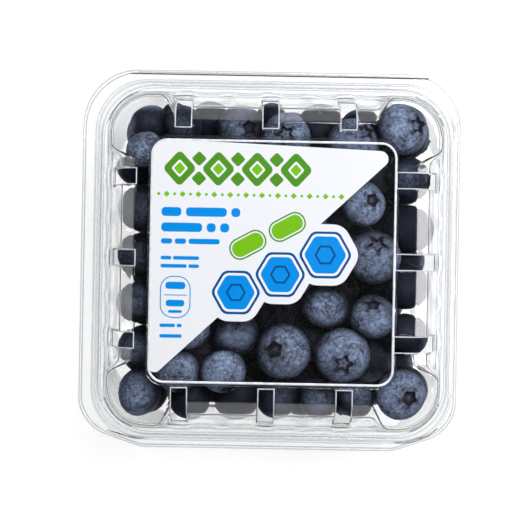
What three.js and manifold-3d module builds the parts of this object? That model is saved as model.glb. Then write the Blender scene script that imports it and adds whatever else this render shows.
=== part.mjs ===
// A clear hinged punnet filled with round dark berries: a tapered tray, a domed lid with four corner
// lobes and twelve vents, a clear film label on the lid, and the heap of berries inside.
// Sizes are in millimetres. +Z is up, +Y points to the hinge, and the tray stands on z = 0.
import * as THREE from "three";
import { mergeVertices } from "three/addons/utils/BufferGeometryUtils.js";
import Module from "manifold-3d";

const wasm = await Module();
wasm.setup();

const sheet = 0.6; // wall of the formed sheet
const gap = 0.3; // air between pieces that touch
const rimHeight = 38; // top face of the tray's flange
const packHeight = 60;

// The trimmed edge of both flanges: wide round corners at the hinge, slanted lift corners in front.
const flange = { half: 63.1, farRadius: 19, nearRadius: 9, slantFrom: 42, slantRise: 0.34 };
const lidTrim = 0.9; // the lid's flange ends this far inside the tray's
const slantFade = { from: 30, over: 24 };

// The formed walls sit a little to the right of the trimmed edge. Their corners swell into lobes.
const mould = { x: 1.4, y: -0.5, half: 55.6, radius: 13.5 };
const bead = { half: 58.5, radius: 17, width: 2.2, side: 0.4, height: 1.4 };
const cornerSteps = 6;
// Stations along half a side, as shares of its straight length, and how much of the inset each takes.
const sideStations = [[0, 1], [0.4, 1], [0.81, 1], [0.86, 0.5], [0.91, 0], [1, 0]];

const shoulder = { height: packHeight - 4.4, lobe: 54.2, inset: 4.8 };
const lidEdge = { height: packHeight - 1.2, lobe: 53.6, inset: 6.8 };
const lidTop = { lobe: 52.3, inset: 6.5, radius: 12 };
const recess = { half: 40.9, radius: 5.8, depth: 0.7, slope: 0.4 };

const label = { width: 80.6, length: 79.2, radius: 5.3, thickness: 0.3 };

// Vents run over the shoulder. inner is how far from the middle each side's vents start.
const vent = { width: 5.2, outer: 52.8, from: rimHeight + 4 };
const ventInner = { left: 45, right: 39, near: 41, far: 43 };
const ventsAlongY = [27, 0.6, -26];
const ventsAlongX = [-30.2, -2, 23.2];

const trayMouth = 54.9;
const trayWall = [
  { height: rimHeight - 2, lobe: 54.9, inset: 0.6 },
  { height: rimHeight / 2, lobe: 52.3, inset: 3 },
  { height: 5, lobe: 49.9, inset: 3.4 },
  { height: 1.2, lobe: 47.6, inset: 3.2 },
];
const foot = { half: 45.4, inset: 2.6, panel: 37.5, panelSlope: 1.5, panelRise: 1.5 };

// Berries. shown lists those that can be told apart under the lid: x, y and width, from the mould's
// middle, and how far under the roof the berry's top lies. The rest are packed round them by a rule.
const roof = packHeight - recess.depth - sheet - 0.4;
const shown = [
  [-42.0, 45.0, 13.4, 8], [-31.0, 45.0, 13.0, 6], [-11.8, 45.0, 16.0, 4], [3.2, 40.8, 16.4, 0],
  [14.6, 45.6, 15.6, 10], [25.2, 39.2, 17.2, 0.5], [41.4, 44.2, 17.4, 0], [-43.5, 17.0, 16.0, 5],
  [-45.5, 1.4, 15.2, 6.5], [-44.2, -13.8, 15.4, 5.5], [-44.9, -29.0, 13.4, 6], [-43.5, -43.6, 15.8, 4],
  [-31.0, -36.4, 15.0, 1], [-16.1, -36.0, 15.4, 0], [3.5, -29.2, 18.4, 0], [22.9, -30.2, 18.4, 0],
  [32.4, -17.4, 15.4, 2], [17.0, -14.5, 16.4, 3], [28.7, 19.5, 15.0, 0], [32.6, 2.1, 18.2, 1],
  [43.6, 27.8, 15.4, 6], [44.4, 11.6, 16.2, 8], [43.8, -7.2, 15.6, 8], [44.0, -23.4, 15.2, 8],
  [-27.0, -45.8, 14.4, 10], [1.8, -45.2, 14.4, 7], [15.4, -45.2, 13.6, 6], [27.4, -45.0, 12.8, 5],
  [42.2, -42.6, 16.8, 0], [-12.5, -23.7, 15.6, 4], [-43.2, 36.2, 12.6, 1], [-46.5, 30.0, 12.4, 11],
];
const layers = [
  { height: 9.5, across: 5, pitch: 18, x: 0, y: 0 },
  { height: 20, across: 5, pitch: 18.6, x: 0, y: 0 },
  { height: 30, across: 5, pitch: 19.4, x: 0, y: 0 },
  { height: 38, across: 5, pitch: 19.6, x: 0, y: 0 },
  { height: 50, across: 3, pitch: 16.4, x: -13, y: 12 },
];
const berry = {
  least: 7.3, spread: 1.6, flattest: 0.84, clear: 1.0, cornerReach: 5,
  jitter: 3, seed: 41, settle: 150, sag: 0.04,
};
const facetReach = 1.06; // a faceted berry's corners stand this much further out than the round one
const core = [
  { height: 9, half: 38 },
  { height: 24, half: 42 },
  { height: 42, half: 44 },
  { height: packHeight - 10.5, half: 41 },
];
const coreRadius = 6;
// Inside half-widths of the closed pack at the sides and, further out, in the corner lobes.
const inside = [
  { height: 0, side: 41.5, lobe: 44.5 },
  { height: 5, side: 45.9, lobe: 49.3 },
  { height: rimHeight / 2, side: 48.7, lobe: 51.7 },
  { height: rimHeight - 2, side: 53.7, lobe: 54.3 },
  { height: rimHeight + 3, side: 54, lobe: 54.6 },
  { height: shoulder.height, side: 48.8, lobe: 53.6 },
  { height: packHeight, side: 45, lobe: 52 },
];

const clearSheet = { color: 0xe9eef0, roughness: 0.08, metalness: 0, transparent: true, opacity: 0.32 };
const filmPrint = { color: 0xf4f6f7, roughness: 0.3, metalness: 0 };
const berrySkin = { color: 0x2f3950, roughness: 0.55, metalness: 0 };

const clamp = (value, low, high) => Math.min(high, Math.max(low, value));

// A ring of points round a rounded square with its sides stepped in by inset between the corners.
// radii belong to the corners, counterclockwise from +X +Y.
function ringOutline({ half, inset = 0, radii }) {
  const points = [];
  const normals = [[1, 0], [0, 1], [-1, 0], [0, -1]];
  normals.forEach(([nx, ny], side) => {
    const [tx, ty] = [-ny, nx];
    const before = half - radii[(side + 3) % 4];
    const after = half - radii[side];
    const place = (share, weight) => {
      const along = share < 0 ? share * before : share * after;
      const out = half - inset * weight;
      points.push([nx * out + tx * along, ny * out + ty * along]);
    };
    sideStations.slice(1).reverse().forEach(([share, weight]) => place(-share, weight));
    sideStations.forEach(([share, weight]) => place(share, weight));
    for (let step = 1; step < cornerSteps; step++) {
      const turn = (step / cornerSteps) * (Math.PI / 2);
      const out = after + radii[side] * Math.cos(turn);
      const along = after + radii[side] * Math.sin(turn);
      points.push([nx * out + tx * along, ny * out + ty * along]);
    }
  });
  return points;
}

function mouldRing(half, height, inset = 0, radius = mould.radius) {
  const radii = Array(4).fill(Math.min(radius, half));
  const points = ringOutline({ half, inset, radii });
  return { height, points: points.map(([x, y]) => [x + mould.x, y + mould.y]) };
}

// The trimmed outline: the front corners are sheared back into slanted lift corners.
function trimRing(half, height) {
  const radii = [flange.farRadius, flange.farRadius, flange.nearRadius, flange.nearRadius];
  const points = ringOutline({ half, radii }).map(([x, y]) => {
    const fade = clamp((-y - slantFade.from) / slantFade.over, 0, 1);
    return [x, y + Math.max(Math.abs(x) - flange.slantFrom, 0) * flange.slantRise * fade];
  });
  return { height, points };
}

const middle = (height) => mouldRing(0, height);

// A lathe whose rounds are bent to the rings' outlines. The rings run from the middle of the
// underside, out and up, and back over the top to the middle.
function loftRings(rings) {
  const profile = rings.map((ring) => new THREE.Vector2(ring.points[0][0], ring.height));
  const steps = rings[0].points.length;
  const geometry = new THREE.LatheGeometry(profile, steps);
  const position = geometry.attributes.position;
  for (let step = 0; step <= steps; step++) {
    rings.forEach((ring, index) => {
      const [x, y] = ring.points[step % steps];
      position.setXYZ(step * rings.length + index, x, y, ring.height);
    });
  }
  return geometry;
}

// Without the thin triangles that meet at a ring drawn in to one point.
function closedGeometry(geometry) {
  const bare = geometry.clone();
  bare.deleteAttribute("normal");
  bare.deleteAttribute("uv");
  const merged = mergeVertices(bare, 1e-3);
  const corners = merged.index.array;
  const kept = [];
  for (let i = 0; i < corners.length; i += 3) {
    const [a, b, c] = corners.slice(i, i + 3);
    if (a !== b && b !== c && c !== a) kept.push(a, b, c);
  }
  merged.setIndex(kept);
  return merged;
}

function toSolid(geometry) {
  const closed = closedGeometry(geometry);
  return new wasm.Manifold(new wasm.Mesh({
    numProp: 3,
    vertProperties: new Float32Array(closed.attributes.position.array),
    triVerts: new Uint32Array(closed.index.array),
  }));
}

function toGeometry(solid) {
  const { vertProperties, triVerts } = solid.getMesh();
  const geometry = new THREE.BufferGeometry();
  geometry.setAttribute("position", new THREE.BufferAttribute(new Float32Array(vertProperties), 3));
  geometry.setIndex(new THREE.BufferAttribute(new Uint32Array(triVerts), 1));
  geometry.computeVertexNormals();
  return geometry;
}

function makeTray() {
  const under = trayWall.map((wall) => mouldRing(wall.lobe, wall.height, wall.inset)).reverse();
  const within = trayWall.map((wall) => mouldRing(wall.lobe - sheet, wall.height + sheet / 3, wall.inset));
  return toSolid(loftRings([
    middle(foot.panelRise),
    mouldRing(foot.panel - foot.panelSlope, foot.panelRise),
    mouldRing(foot.panel, 0),
    mouldRing(foot.half, 0, foot.inset),
    ...under,
    mouldRing(trayMouth + sheet, rimHeight - sheet),
    trimRing(flange.half, rimHeight - sheet),
    trimRing(flange.half, rimHeight),
    mouldRing(trayMouth, rimHeight),
    ...within,
    mouldRing(foot.half - sheet, sheet, foot.inset),
    mouldRing(foot.panel + sheet / 2, sheet),
    mouldRing(foot.panel - foot.panelSlope + sheet / 2, foot.panelRise + sheet),
    middle(foot.panelRise + sheet),
  ]));
}

function ventCutters() {
  const sides = [
    { out: [-1, 0], inner: ventInner.left, spots: ventsAlongY },
    { out: [1, 0], inner: ventInner.right, spots: ventsAlongY },
    { out: [0, -1], inner: ventInner.near, spots: ventsAlongX },
    { out: [0, 1], inner: ventInner.far, spots: ventsAlongX },
  ];
  return sides.flatMap(({ out, inner, spots }) => spots.map((spot) => {
    const reach = vent.outer - inner;
    const tall = packHeight - vent.from + 1;
    const alongX = out[0] !== 0;
    const box = new THREE.BoxGeometry(alongX ? reach : vent.width, alongX ? vent.width : reach, tall);
    const away = inner + reach / 2;
    box.translate(
      mould.x + (alongX ? out[0] * away : spot),
      mould.y + (alongX ? spot : out[1] * away),
      vent.from + tall / 2,
    );
    return toSolid(box);
  }));
}

function makeLid() {
  const flangeUnder = rimHeight + gap;
  const flangeTop = flangeUnder + sheet;
  const beadOuter = bead.half + bead.width / 2;
  const beadInner = bead.half - bead.width / 2;
  const floor = packHeight - recess.depth;
  const edge = flange.half - lidTrim;
  const wallFoot = { height: flangeTop + 1.6, lobe: mould.half - 0.2, inset: 0.6 };
  const wallRings = (inward, drop) => [wallFoot, shoulder, lidEdge].map((ring) =>
    mouldRing(ring.lobe - inward, ring.height - (ring === wallFoot ? 0 : drop), ring.inset));
  const shell = toSolid(loftRings([
    middle(floor - sheet),
    mouldRing(recess.half + sheet / 2, floor - sheet, 0, recess.radius),
    mouldRing(recess.half + sheet, packHeight - sheet, 0, recess.radius),
    mouldRing(lidTop.lobe - sheet / 2, packHeight - sheet, lidTop.inset, lidTop.radius),
    ...wallRings(sheet, sheet / 3).reverse(),
    mouldRing(mould.half - sheet, flangeUnder),
    trimRing(edge, flangeUnder),
    trimRing(edge, flangeTop),
    mouldRing(beadOuter, flangeTop, 0, bead.radius),
    mouldRing(beadOuter - bead.side, flangeTop + bead.height, 0, bead.radius),
    mouldRing(beadInner + bead.side, flangeTop + bead.height, 0, bead.radius),
    mouldRing(beadInner, flangeTop, 0, bead.radius),
    mouldRing(mould.half, flangeTop),
    ...wallRings(0, 0),
    mouldRing(lidTop.lobe, packHeight, lidTop.inset, lidTop.radius),
    mouldRing(recess.half, packHeight, 0, recess.radius),
    mouldRing(recess.half - recess.slope, floor, 0, recess.radius),
    middle(floor),
  ]));
  return ventCutters().reduce((solid, cutter) => solid.subtract(cutter), shell);
}

function makeLabel() {
  const { width, length, radius, thickness } = label;
  const [x, y] = [width / 2, length / 2];
  const outline = new THREE.Shape();
  outline.absarc(x - radius, y - radius, radius, 0, Math.PI / 2);
  outline.absarc(-x + radius, y - radius, radius, Math.PI / 2, Math.PI);
  outline.absarc(-x + radius, -y + radius, radius, Math.PI, Math.PI * 1.5);
  outline.absarc(x - radius, -y + radius, radius, Math.PI * 1.5, Math.PI * 2);
  const film = new THREE.ExtrudeGeometry(outline, { depth: thickness, bevelEnabled: false, curveSegments: 5 });
  film.translate(mould.x, mould.y, packHeight - recess.depth + gap);
  return toSolid(film);
}

function seededDraw(seed) {
  let state = seed;
  return () => {
    state = (state * 1664525 + 1013904223) % 4294967296;
    return state / 4294967296;
  };
}

function insideAt(height, key) {
  const above = Math.max(inside.findIndex((level) => level.height >= height), 1);
  const [low, high] = [inside[above - 1], inside[above]];
  const share = clamp((height - low.height) / (high.height - low.height), 0, 1);
  return low[key] + share * (high[key] - low[key]);
}

// Moves a berry back inside the walls. In a corner lobe it may lie further out than at the sides.
function keepInside(ball) {
  const floorHeight = foot.panelRise + sheet + berry.clear + ball.radius;
  ball.z = clamp(ball.z, floorHeight, roof - ball.radius);
  const side = insideAt(ball.z, "side") - berry.clear - ball.radius;
  const lobe = insideAt(ball.z, "lobe") - berry.clear - ball.radius;
  const cornerFrom = side - berry.cornerReach;
  const inCorner = Math.abs(ball.x) > cornerFrom && Math.abs(ball.y) > cornerFrom;
  const limit = inCorner ? lobe : side;
  ball.x = clamp(ball.x, -limit, limit);
  ball.y = clamp(ball.y, -limit, limit);
  const bend = insideAt(ball.z, "lobe") - mould.radius;
  const [dx, dy] = [Math.abs(ball.x) - bend, Math.abs(ball.y) - bend];
  const far = Math.hypot(dx, dy);
  const reach = mould.radius - berry.clear - ball.radius;
  if (dx > 0 && dy > 0 && far > reach) {
    ball.x = Math.sign(ball.x) * (bend + (dx * reach) / far);
    ball.y = Math.sign(ball.y) * (bend + (dy * reach) / far);
  }
}

function pushApart(a, b) {
  const [dx, dy, dz] = [b.x - a.x, b.y - a.y, b.z - a.z];
  const apart = Math.hypot(dx, dy, dz) || 1;
  const overlap = a.radius + b.radius - apart;
  if (overlap <= 0) return;
  const shareA = a.fixed ? 0 : b.fixed ? 1 : 0.5;
  const shareB = b.fixed ? 0 : a.fixed ? 1 : 0.5;
  const push = overlap / apart;
  a.x -= dx * push * shareA;
  a.y -= dy * push * shareA;
  a.z -= dz * push * shareA;
  b.x += dx * push * shareB;
  b.y += dy * push * shareB;
  b.z += dz * push * shareB;
}

// The heap: shown berries stay put, and the others are pushed apart until they nest.
function packBerries() {
  const draw = seededDraw(berry.seed);
  const balls = shown.map(([x, y, width, depth]) => (
    { x, y, z: roof - width / 2 - depth, radius: width / 2, fixed: true }
  ));
  balls.forEach(keepInside);
  layers.forEach((layer) => {
    const { height, across, pitch } = layer;
    for (let i = 0; i < across; i++) {
      for (let j = 0; j < across; j++) {
        const radius = berry.least + berry.spread * draw();
        balls.push({
          x: layer.x + (i - (across - 1) / 2) * pitch + berry.jitter * (draw() - 0.5),
          y: layer.y + (j - (across - 1) / 2) * pitch + berry.jitter * (draw() - 0.5),
          z: height + berry.jitter * draw(),
          radius,
          fixed: false,
        });
      }
    }
  });
  for (let round = 0; round < berry.settle; round++) {
    for (let i = 0; i < balls.length; i++) {
      for (let j = i + 1; j < balls.length; j++) pushApart(balls[i], balls[j]);
    }
    balls.filter((ball) => !ball.fixed).forEach((ball) => {
      ball.z -= berry.sag;
      keepInside(ball);
    });
  }
  balls.forEach((ball) => {
    ball.tilt = Math.PI * draw();
    ball.turn = 2 * Math.PI * draw();
    ball.flat = berry.flattest + (1 - berry.flattest) * 0.6 * draw();
  });
  return balls;
}

// True for a berry that lies against a wall, the floor or the lid, and so can be seen.
function isOuter(ball) {
  const deep = 1.35 * ball.radius;
  const toSide = insideAt(ball.z, "side") - Math.max(Math.abs(ball.x), Math.abs(ball.y));
  return ball.fixed || toSide < deep || ball.z < foot.panelRise + deep || roof - ball.z < deep;
}

function makeBerries() {
  const heart = toSolid(loftRings([
    middle(core[0].height),
    ...core.map((level) => mouldRing(level.half, level.height, 0, coreRadius)),
    middle(core[core.length - 1].height),
  ]));
  return packBerries().filter(isOuter).reduce((heap, ball) => {
    const round = new THREE.DodecahedronGeometry(ball.radius * facetReach);
    round.scale(1, 1, ball.flat);
    round.rotateX(ball.tilt);
    round.rotateZ(ball.turn);
    round.translate(mould.x + ball.x, mould.y + ball.y, ball.z);
    return heap.add(toSolid(round));
  }, heart);
}

function makePiece(name, solid, finish) {
  const piece = new THREE.Mesh(toGeometry(solid), new THREE.MeshStandardMaterial(finish));
  piece.name = name;
  return piece;
}

const punnet = new THREE.Group();
punnet.add(
  makePiece("tray", makeTray(), clearSheet),
  makePiece("lid", makeLid(), clearSheet),
  makePiece("label", makeLabel(), filmPrint),
  makePiece("berries", makeBerries(), berrySkin),
);

export default punnet;
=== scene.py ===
import math

import bmesh
import bpy
from mathutils import Euler, Matrix, Vector, noise
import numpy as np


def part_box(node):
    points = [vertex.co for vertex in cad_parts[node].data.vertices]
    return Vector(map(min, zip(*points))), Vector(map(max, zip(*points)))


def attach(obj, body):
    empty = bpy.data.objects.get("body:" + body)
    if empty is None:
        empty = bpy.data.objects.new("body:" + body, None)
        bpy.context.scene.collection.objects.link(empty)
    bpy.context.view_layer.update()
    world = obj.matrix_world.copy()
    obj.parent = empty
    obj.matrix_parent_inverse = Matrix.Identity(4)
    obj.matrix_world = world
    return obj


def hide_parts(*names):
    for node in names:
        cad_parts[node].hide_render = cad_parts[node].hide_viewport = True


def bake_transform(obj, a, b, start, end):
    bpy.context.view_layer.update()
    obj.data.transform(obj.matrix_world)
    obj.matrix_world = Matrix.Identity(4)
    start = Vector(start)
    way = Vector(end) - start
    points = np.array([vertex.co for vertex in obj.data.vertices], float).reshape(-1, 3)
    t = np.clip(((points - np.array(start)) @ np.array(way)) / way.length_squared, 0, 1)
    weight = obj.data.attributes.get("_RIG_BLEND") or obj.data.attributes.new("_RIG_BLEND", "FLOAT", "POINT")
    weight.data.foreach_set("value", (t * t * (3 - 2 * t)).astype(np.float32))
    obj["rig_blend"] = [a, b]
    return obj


# A clear hinged punnet of round dark berries, seen from straight above.
# Lengths in the dictionaries are millimetres, but metres in the studio's. +Y is the hinge side.
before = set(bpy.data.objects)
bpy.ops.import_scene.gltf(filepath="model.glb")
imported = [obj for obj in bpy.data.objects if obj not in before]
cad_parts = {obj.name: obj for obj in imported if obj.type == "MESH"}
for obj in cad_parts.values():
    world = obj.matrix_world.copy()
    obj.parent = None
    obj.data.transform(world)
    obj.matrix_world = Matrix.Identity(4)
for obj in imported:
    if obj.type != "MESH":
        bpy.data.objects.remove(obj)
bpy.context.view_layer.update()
mm = 0.001

trayLow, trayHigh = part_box("tray")
lidLow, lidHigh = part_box("lid")
labelLow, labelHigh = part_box("label")
rimHeight = trayHigh.z / mm  # top of the tray's flange
packHeight = lidHigh.z / mm
labelMiddle = (labelLow + labelHigh) / 2 / mm
mould = {"x": labelMiddle.x, "y": labelMiddle.y, "half": 55.6, "radius": 13.5}


# Small helpers

def between(value, low, high):
    return min(max(value, low), high)


def easeStep(low, high, value):
    t = between((value - low) / (high - low), 0, 1)
    return t * t * (3 - 2 * t)


def addObject(name, mesh):
    obj = bpy.data.objects.new(name, mesh)
    bpy.context.scene.collection.objects.link(obj)
    return obj


def meshFrom(bm, name, smooth=True):
    mesh = bpy.data.meshes.new(name)
    bm.to_mesh(mesh)
    bm.free()
    if smooth:
        mesh.shade_smooth()
    return mesh


def workedMesh(obj):
    graph = bpy.context.evaluated_depsgraph_get()
    return bpy.data.meshes.new_from_object(obj.evaluated_get(graph))


# The object's modifiers, worked into its mesh
def applyModifiers(obj):
    made = workedMesh(obj)
    obj.modifiers.clear()
    old = obj.data
    obj.data = made
    bpy.data.meshes.remove(old)


# Materials

def newMaterial(name):
    material = bpy.data.materials.new(name)
    material.use_nodes = True
    nodes = material.node_tree.nodes
    nodes.clear()
    shader = nodes.new("ShaderNodeBsdfPrincipled")
    output = nodes.new("ShaderNodeOutputMaterial")
    material.node_tree.links.new(shader.outputs["BSDF"], output.inputs["Surface"])
    return material, shader


# Unevenness over the surface: a mask of soft patches and a finer speckle, each 0 to 1
def buildMottleGroup():
    group = bpy.data.node_groups.new("mottle", "ShaderNodeTree")
    sockets = group.interface
    sockets.new_socket(name="Shift", in_out="INPUT", socket_type="NodeSocketVector")
    for name in ("Patch scale", "Speckle scale"):
        sockets.new_socket(name=name, in_out="INPUT", socket_type="NodeSocketFloat")
    for name in ("Patches", "Speckle"):
        sockets.new_socket(name=name, in_out="OUTPUT", socket_type="NodeSocketFloat")
    nodes, links = group.nodes, group.links
    source = nodes.new("NodeGroupInput")
    result = nodes.new("NodeGroupOutput")
    place = nodes.new("ShaderNodeTexCoord")
    shifted = nodes.new("ShaderNodeVectorMath")
    shifted.operation = "ADD"
    links.new(place.outputs["Object"], shifted.inputs[0])
    links.new(source.outputs["Shift"], shifted.inputs[1])
    for scale, mask, rough in (("Patch scale", "Patches", 0.66), ("Speckle scale", "Speckle", 0.7)):
        texture = nodes.new("ShaderNodeTexNoise")
        texture.inputs["Detail"].default_value = 6
        texture.inputs["Roughness"].default_value = rough
        links.new(shifted.outputs["Vector"], texture.inputs["Vector"])
        links.new(source.outputs[scale], texture.inputs["Scale"])
        spread = nodes.new("ShaderNodeMapRange")
        spread.interpolation_type = "SMOOTHSTEP"
        spread.inputs["From Min"].default_value = 0.34
        spread.inputs["From Max"].default_value = 0.66
        links.new(texture.outputs["Fac"], spread.inputs["Value"])
        links.new(spread.outputs["Result"], result.inputs[mask])
    return group


mottleGroup = buildMottleGroup()


def addMottle(material, patchScale, speckleScale):
    node = material.node_tree.nodes.new("ShaderNodeGroup")
    node.node_tree = mottleGroup
    node.inputs["Patch scale"].default_value = patchScale
    node.inputs["Speckle scale"].default_value = speckleScale
    return node


# A value of 0 to 1 spread from low to high
def mapTo(material, socket, low, high, target=None):
    node = material.node_tree.nodes.new("ShaderNodeMapRange")
    node.inputs["To Min"].default_value = low
    node.inputs["To Max"].default_value = high
    material.node_tree.links.new(socket, node.inputs["Value"])
    if target is not None:
        material.node_tree.links.new(node.outputs["Result"], target)
    return node.outputs["Result"]


def multiply(material, first, second):
    node = material.node_tree.nodes.new("ShaderNodeMath")
    node.operation = "MULTIPLY"
    material.node_tree.links.new(first, node.inputs[0])
    material.node_tree.links.new(second, node.inputs[1])
    return node.outputs["Value"]


def addBump(material, heightSocket, strength, distance, shader):
    bump = material.node_tree.nodes.new("ShaderNodeBump")
    bump.inputs["Strength"].default_value = strength
    bump.inputs["Distance"].default_value = distance * mm
    material.node_tree.links.new(heightSocket, bump.inputs["Height"])
    material.node_tree.links.new(bump.outputs["Normal"], shader.inputs["Normal"])


def mixColours(material, factor, first, second):
    mix = material.node_tree.nodes.new("ShaderNodeMix")
    mix.data_type = "RGBA"
    links = material.node_tree.links
    for value, name in ((factor, 0), (first, 6), (second, 7)):
        if isinstance(value, bpy.types.NodeSocket):
            links.new(value, mix.inputs[name])
        elif name == 0:
            mix.inputs[name].default_value = value
        else:
            mix.inputs[name].default_value = (*value, 1)
    return mix.outputs[2]


sheetLook = {
    "colour": (0.992, 0.996, 0.998),
    "bendPaintedShade": (0.56, 0.58, 0.61),
    "shadow": (0.98, 0.985, 0.99, 1),
    "patchScale": 60,
    "speckleScale": 420,
    "rippleDepth": 0.25,
}


# Clear formed sheet with a little haze. Its colour is darkened in its tight bends: painted shade for
# the dark lines the bends show. Lamps shine straight through it.
def clearSheetMaterial(name, roughLow, roughHigh, ripple):
    look = sheetLook
    material, shader = newMaterial(name)
    nodes, links = material.node_tree.nodes, material.node_tree.links
    shader.inputs["Transmission Weight"].default_value = 1
    shader.inputs["IOR"].default_value = 1.5
    mottle = addMottle(material, look["patchScale"], look["speckleScale"])
    # painted shade: the colour darkens with the attribute that holds how sharply the sheet bends
    bend = nodes.new("ShaderNodeAttribute")
    bend.attribute_name = "bend"
    colour = mixColours(material, bend.outputs["Fac"], look["colour"], look["bendPaintedShade"])
    links.new(colour, shader.inputs["Base Color"])
    mapTo(material, mottle.outputs["Speckle"], roughLow, roughHigh, shader.inputs["Roughness"])
    addBump(material, mottle.outputs["Patches"], ripple, look["rippleDepth"], shader)
    path = nodes.new("ShaderNodeLightPath")
    window = nodes.new("ShaderNodeBsdfTransparent")
    window.inputs["Color"].default_value = look["shadow"]
    mix = nodes.new("ShaderNodeMixShader")
    output = shader.outputs["BSDF"].links[0].to_node
    links.new(path.outputs["Is Shadow Ray"], mix.inputs["Fac"])
    links.new(shader.outputs["BSDF"], mix.inputs[1])
    links.new(window.outputs["BSDF"], mix.inputs[2])
    links.new(mix.outputs["Shader"], output.inputs["Surface"])
    return material


# A pale bead along a cut edge: a painted highlight for the glint of light along the edge
def edgeHighlightMaterial():
    material, shader = newMaterial("paintedEdgeHighlight")
    mottle = addMottle(material, 500, 2500)
    # painted highlight: pale colour along the edge
    colour = mixColours(material, mottle.outputs["Patches"], (0.62, 0.65, 0.70), (0.88, 0.90, 0.93))
    material.node_tree.links.new(colour, shader.inputs["Base Color"])
    mapTo(material, mottle.outputs["Speckle"], 0.2, 0.45, shader.inputs["Roughness"])
    shader.inputs["IOR"].default_value = 1.5
    return material


berryLook = {
    "skin": (0.0035, 0.0045, 0.009),
    "bloom": (0.084, 0.109, 0.176),
    "paleBloom": (0.32, 0.38, 0.53),
    "crown": (0.005, 0.0045, 0.006),
    "patchScale": 170,
    "speckleScale": 900,
    "finerPatches": 3.1,
    "finerSpeckle": 2.6,
    "finePatchShare": 0.5,
    "shift": 3.7,  # moves the texture from berry to berry
}


# Dark skin under a waxy bloom that is rubbed off in patches, with pale dust in it; the crown is
# dry and dark. The attribute "mark" holds a berry's tint, its crown's share and its bloom's
# strength; the other attribute is painted shade, which darkens bloom and dust low in the heap and between
# berries.
def berryMaterial():
    look = berryLook
    material, shader = newMaterial("berrySkin")
    nodes, links = material.node_tree.nodes, material.node_tree.links
    mark = nodes.new("ShaderNodeAttribute")
    mark.attribute_name = "mark"
    paintedShade = nodes.new("ShaderNodeAttribute")
    paintedShade.attribute_name = "paintedShade"
    unshaded = mapTo(material, paintedShade.outputs["Fac"], 1, 0)
    split = nodes.new("ShaderNodeSeparateColor")
    links.new(mark.outputs["Color"], split.inputs["Color"])
    spread = nodes.new("ShaderNodeVectorMath")
    spread.operation = "SCALE"
    spread.inputs["Scale"].default_value = look["shift"]
    links.new(mark.outputs["Color"], spread.inputs[0])
    coarse = addMottle(material, look["patchScale"], look["speckleScale"])
    fine = addMottle(material, look["patchScale"] * look["finerPatches"],
                     look["speckleScale"] * look["finerSpeckle"])
    for mottle in (coarse, fine):
        links.new(spread.outputs["Vector"], mottle.inputs["Shift"])
    patches = nodes.new("ShaderNodeMath")
    patches.operation = "MULTIPLY_ADD"
    patches.use_clamp = True
    links.new(fine.outputs["Patches"], patches.inputs[0])
    patches.inputs[1].default_value = look["finePatchShare"]
    mapTo(material, coarse.outputs["Patches"], -0.16, 0.74, patches.inputs[2])
    speckled = multiply(material, patches.outputs["Value"],
                        mapTo(material, coarse.outputs["Speckle"], 0.45, 1.15))
    amount = multiply(material, speckled, mapTo(material, split.outputs["Blue"], 0.5, 1.15))
    # painted shade: the bloom fades to bare dark skin where the painted shade lies
    skin = mixColours(material, multiply(material, amount, unshaded), look["skin"], look["bloom"])
    dust = multiply(material, coarse.outputs["Speckle"], mapTo(material, fine.outputs["Speckle"], 0, 0.45))
    # painted shade takes the pale dust away as well
    dusted = mixColours(material, multiply(material, dust, unshaded), skin, look["paleBloom"])
    colour = mixColours(material, split.outputs["Green"], dusted, look["crown"])
    links.new(colour, shader.inputs["Base Color"])
    mapTo(material, patches.outputs["Value"], 0.42, 0.7, shader.inputs["Roughness"])
    addBump(material, coarse.outputs["Speckle"], 0.2, 0.1, shader)
    shader.inputs["Specular IOR Level"].default_value = 0.06
    shader.inputs["IOR"].default_value = 1.45
    return material


# Printing ink on glossy film
def inkMaterial(name, colour, darker):
    material, shader = newMaterial(name)
    mottle = addMottle(material, 90, 3000)
    shade = mixColours(material, mapTo(material, mottle.outputs["Speckle"], 0, 0.6), colour, darker)
    material.node_tree.links.new(shade, shader.inputs["Base Color"])
    mapTo(material, mottle.outputs["Patches"], 0.14, 0.2, shader.inputs["Roughness"])
    addBump(material, mottle.outputs["Speckle"], 0.08, 0.02, shader)
    return material


sheetMaterial = clearSheetMaterial("clearFormedSheet", 0.01, 0.05, 0.02)
filmMaterial = clearSheetMaterial("clearFilm", 0.02, 0.06, 0.01)
edgeHighlight = edgeHighlightMaterial()
skinMaterial = berryMaterial()
inks = {
    "white": inkMaterial("whiteInk", (0.86, 0.875, 0.925), (0.82, 0.84, 0.89)),
    "green": inkMaterial("greenInk", (0.082, 0.300, 0.019), (0.070, 0.27, 0.016)),
    "lime": inkMaterial("limeInk", (0.19, 0.53, 0.012), (0.17, 0.49, 0.010)),
    "blue": inkMaterial("blueInk", (0.001, 0.275, 0.81), (0.001, 0.25, 0.75)),
    "navy": inkMaterial("deepBlueInk", (0.001, 0.083, 0.30), (0.001, 0.072, 0.27)),
}
print("materials ready")


# Outlines of the formed shells

sides = {
    # outward direction and the vents' places along the side, counterclockwise from +X
    "right": ((1, 0), (-26, 0.6, 27)),
    "far": ((0, 1), (-23.2, 2, 30.2)),
    "left": ((-1, 0), (-27, -0.6, 26)),
    "near": ((0, -1), (-30.2, -2, 23.2)),
}
shellGrid = {"alongSide": 56, "roundCorner": 12, "lobeStart": 36.1, "lobeBlend": 2.4}
flute = {"radius": 3.8, "ribHalf": 3.2, "ribSlope": 1.3, "ribShare": 0.7}
trim = {"half": 63.1, "farRadius": 19, "nearRadius": 9, "slantFrom": 42, "slantRise": 0.34,
        "fadeFrom": 30, "fadeOver": 24}
sheetGauge = 0.42
middleReach = 10  # the shells' innermost line lies nearer the middle than this
bendShadeRange = {"from": 0.10, "to": 0.5}  # angle between faces, from clear to the darkest painted shade
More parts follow.
